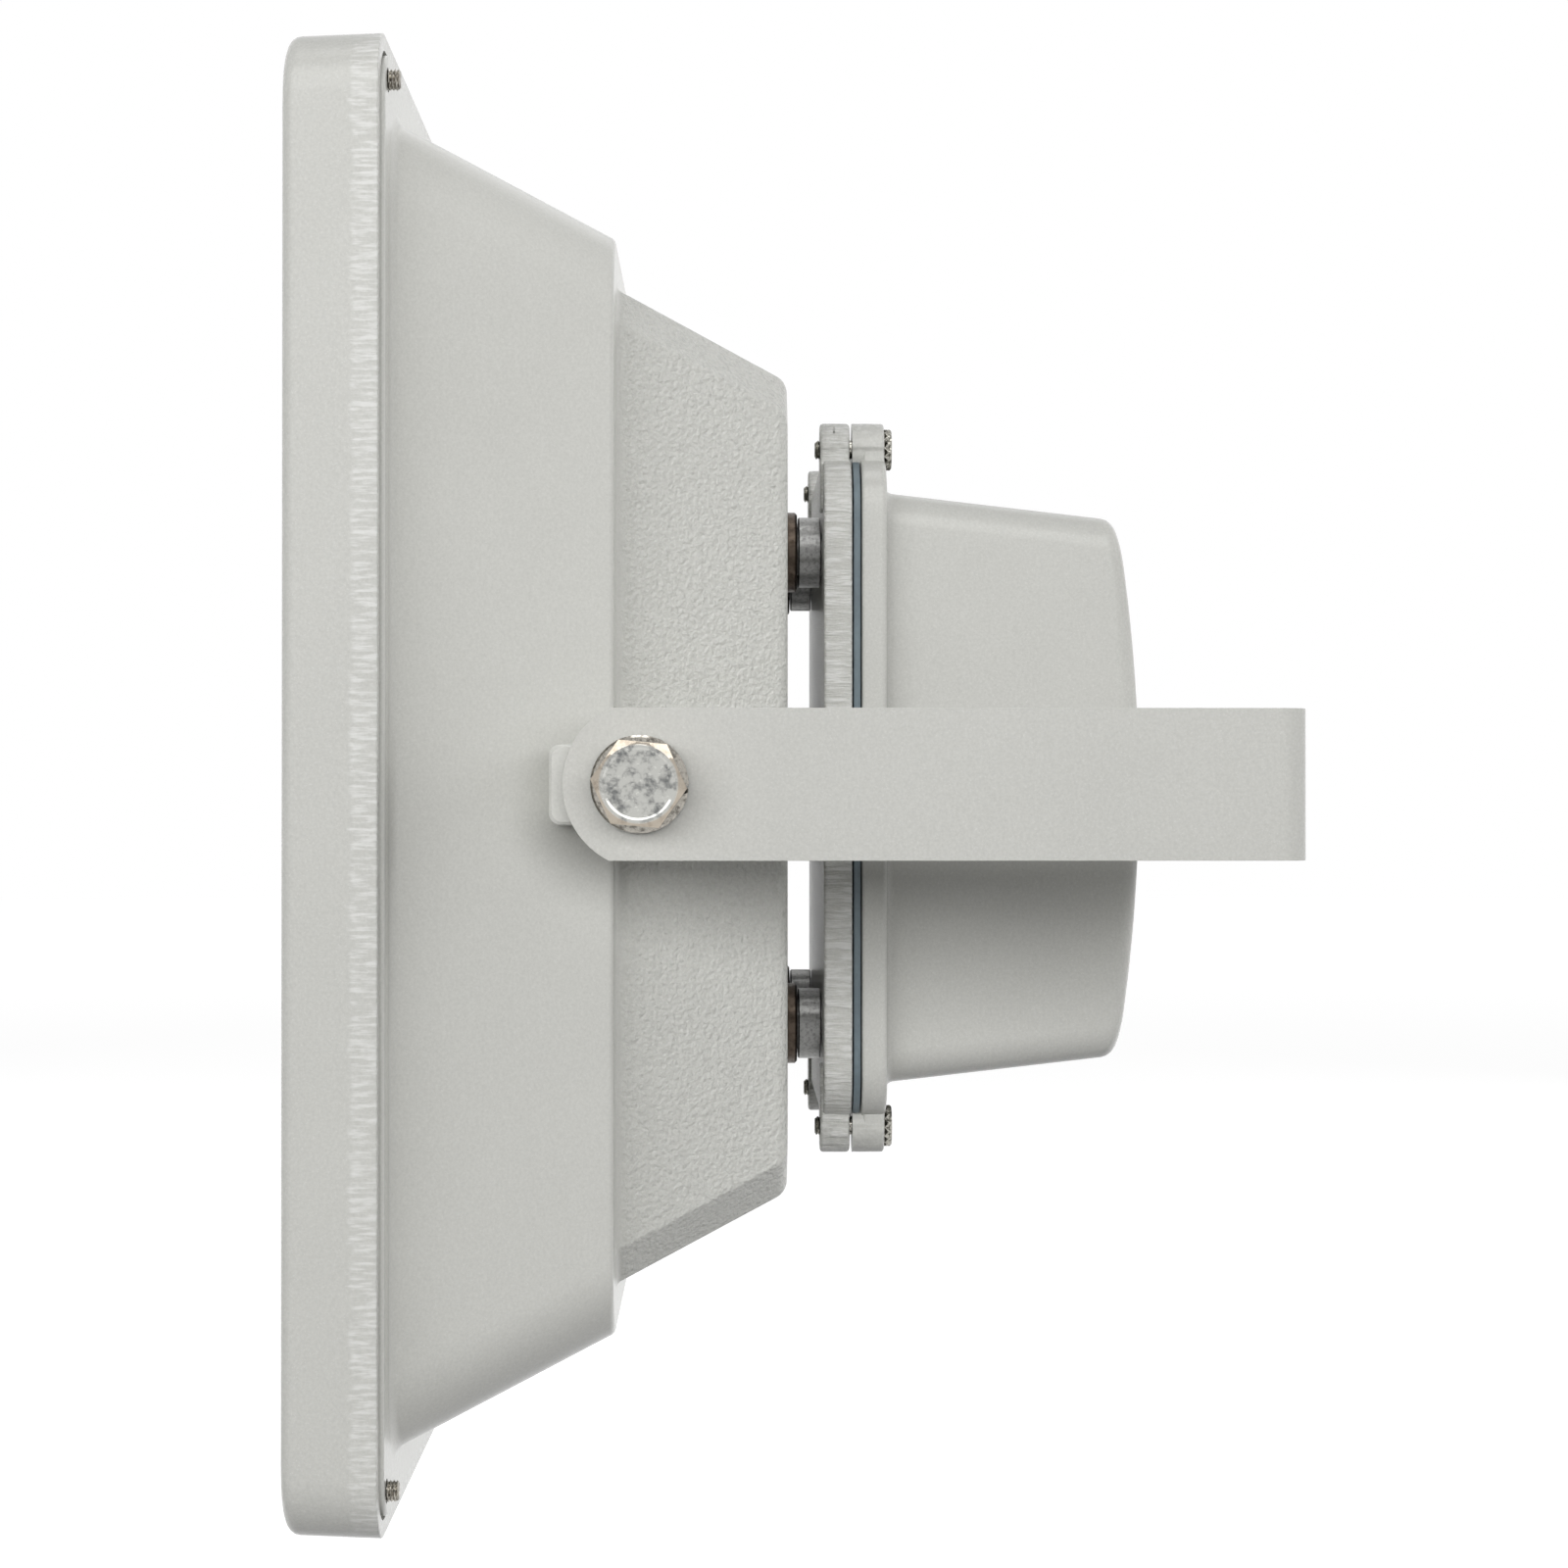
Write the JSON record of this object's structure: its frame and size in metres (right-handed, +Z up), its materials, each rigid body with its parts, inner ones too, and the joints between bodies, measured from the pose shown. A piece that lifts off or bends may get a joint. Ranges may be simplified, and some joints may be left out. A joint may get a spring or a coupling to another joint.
{
  "type": "led flood light",
  "caption": "Square LED flood light with a stepped cast housing, a door frame, a rear driver box on stand-offs and a U-shaped bracket it tilts in.",
  "frame": {"origin": "centre of the bracket's flat rear face, where the light is bolted to a wall or a pole", "axes": "+X out of the bracket's rear face, away from the lamp, so the lamp faces -X; Y along the tilt axis; +Z up"},
  "size_m": [0.2342, 0.3468, 0.345],
  "materials": {
    "powder_coat": "light grey fine-textured powder coat, semi-gloss",
    "bright_steel": "bare zinc-plated or stainless steel",
    "dark_steel": "blackened steel, knurled heads",
    "blue_rubber": "blue-grey gasket rubber",
    "white_silicone": "white silicone",
    "clear_glass": "clear toughened glass",
    "lens_plastic": "clear moulded lens plastic",
    "bright_aluminium": "bright rolled sheet",
    "plain_aluminium": "mill finish",
    "board_mask": "white solder mask on an aluminium board",
    "terminal_nylon": "natural nylon",
    "lead_jacket": "black flexible jacket",
    "nickel": "nickel plate"
  },
  "bodies": {
    "yoke": {"yoke_bracket": "powder_coat"},
    "lamp_head": {"board_screw_1": "bright_steel", "board_screw_2": "bright_steel", "board_screw_3": "bright_steel", "board_screw_4": "bright_steel", "cover_screw_1": "dark_steel", "cover_screw_2": "dark_steel", "cover_screw_3": "dark_steel", "cover_screw_4": "dark_steel", "driver_box_base": "powder_coat", "driver_box_cover": "powder_coat", "driver_gasket": "blue_rubber", "driver_screw_1": "bright_steel", "driver_screw_2": "bright_steel", "frame_screw_1": "bright_steel", "frame_screw_2": "bright_steel", "frame_screw_3": "bright_steel", "frame_screw_4": "bright_steel", "front_frame": "powder_coat", "front_glass": "clear_glass", "gland_body": "nickel", "gland_locknut": "nickel", "gland_nut": "nickel", "gland_seal": "lead_jacket", "glass_gasket": "white_silicone", "heat_spreader": "plain_aluminium", "housing_gasket": "white_silicone", "led_board": "board_mask", "led_driver": "plain_aluminium", "led_lead": "lead_jacket", "lens_panel": "lens_plastic", "lock_washer_far": "bright_steel", "lock_washer_near": "bright_steel", "pivot_bolt_far": "bright_steel", "pivot_bolt_near": "bright_steel", "rear_housing": "powder_coat", "reflector": "bright_aluminium", "standoff_1": "powder_coat", "standoff_2": "powder_coat", "standoff_3": "powder_coat", "standoff_4": "powder_coat", "standoff_nut_1": "bright_steel", "standoff_nut_2": "bright_steel", "standoff_nut_3": "bright_steel", "standoff_nut_4": "bright_steel", "standoff_ring_1": "powder_coat", "standoff_ring_2": "powder_coat", "standoff_ring_3": "powder_coat", "standoff_ring_4": "powder_coat", "terminal_block": "terminal_nylon"}
  },
  "joints": [
    {"name": "tilt", "type": "hinge", "parent": "yoke", "child": "lamp_head", "pos_m": [-0.15352, 0, 0], "axis": [0, 1, 0], "range_deg": [-90, 90]}
  ]
}
